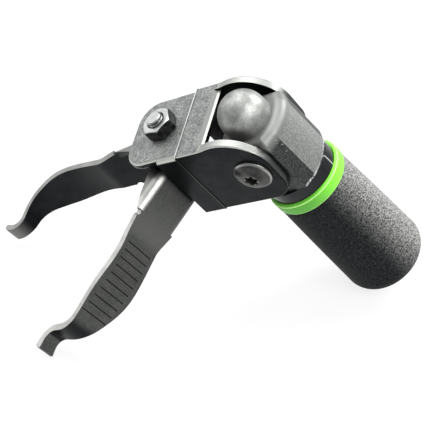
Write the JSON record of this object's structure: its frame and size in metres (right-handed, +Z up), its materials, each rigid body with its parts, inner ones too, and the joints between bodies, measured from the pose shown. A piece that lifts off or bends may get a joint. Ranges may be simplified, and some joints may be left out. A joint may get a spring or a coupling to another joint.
{
  "type": "swivel-handled two-jaw hand tool",
  "caption": "Hand tool with hinged, spring-opened steel jaws on a cast clevis bracket and a short round grip that swivels between the bracket's ears.",
  "frame": {"origin": "middle of the footprint, on the plane that the two jaw tips and the rim of the grip rest on", "axes": "+Z up, the jaws point along -X and down, the grip slants down towards +X, Y across the jaws"},
  "size_m": [0.1536, 0.0794, 0.0898],
  "materials": {
    "bracket_casting": "fine-grained satin casting, darker on the ears",
    "knuckle_casting": "satin casting with a softly polished dome",
    "jaw_steel": "dark mottled satin sheet with bright sheared edges",
    "bright_plating": "bright plating",
    "bearing_steel": "smooth turned steel",
    "screw_steel": "dark satin dome",
    "spring_wire": "drawn wire",
    "bush_bronze": "turned bronze",
    "friction_washer": "smooth washer",
    "collar_plastic": "glossy black",
    "accent_plastic": "satin lime green",
    "grip_rubber": "fine-grained black"
  },
  "bodies": {
    "bracket": {"clevis_bracket": "bracket_casting", "jaw_bolt": "bright_plating", "jaw_nut": "bright_plating", "bolt_sleeve": "bearing_steel", "head_washer": "bright_plating", "upper_thrust_washer": "bearing_steel", "lower_thrust_washer": "bearing_steel", "pivot_barrel": "bearing_steel", "near_pivot_screw": "screw_steel", "far_pivot_screw": "screw_steel"},
    "handle": {"knuckle": "knuckle_casting", "near_pivot_bush": "bush_bronze", "far_pivot_bush": "bush_bronze", "near_friction_washer": "friction_washer", "far_friction_washer": "friction_washer", "handle_shank": "bearing_steel", "handle_liner": "collar_plastic", "shank_pin": "bearing_steel", "accent_ring": "accent_plastic", "grip_sleeve": "grip_rubber"},
    "far_jaw_body": {"far_jaw": "jaw_steel", "jaw_spring": "spring_wire", "upper_flange_shim": "bearing_steel", "lower_flange_shim": "bearing_steel"},
    "near_jaw_body": {"near_jaw": "jaw_steel"}
  },
  "joints": [
    {"name": "handle_swivel", "type": "hinge", "parent": "bracket", "child": "handle", "pos_m": [0.01204, -0.01952, 0.07016], "axis": [-0.475, -0.7965, -0.374], "range_deg": [-20, 12]},
    {"name": "jaw_swing", "type": "hinge", "parent": "bracket", "child": "far_jaw_body", "pos_m": [-0.00936, 0.00056, 0.05458], "axis": [0.6186, 0, -0.7857], "range_deg": [0, 75]},
    {"name": "jaw_squeeze", "type": "hinge", "parent": "far_jaw_body", "child": "near_jaw_body", "pos_m": [-0.00936, 0.00056, 0.05458], "axis": [0.6186, 0, -0.7857], "range_deg": [0, 38], "stiffness_Nm_per_rad": 0.15, "springref_deg": -20.05, "deforming": ["jaw_spring"]}
  ]
}
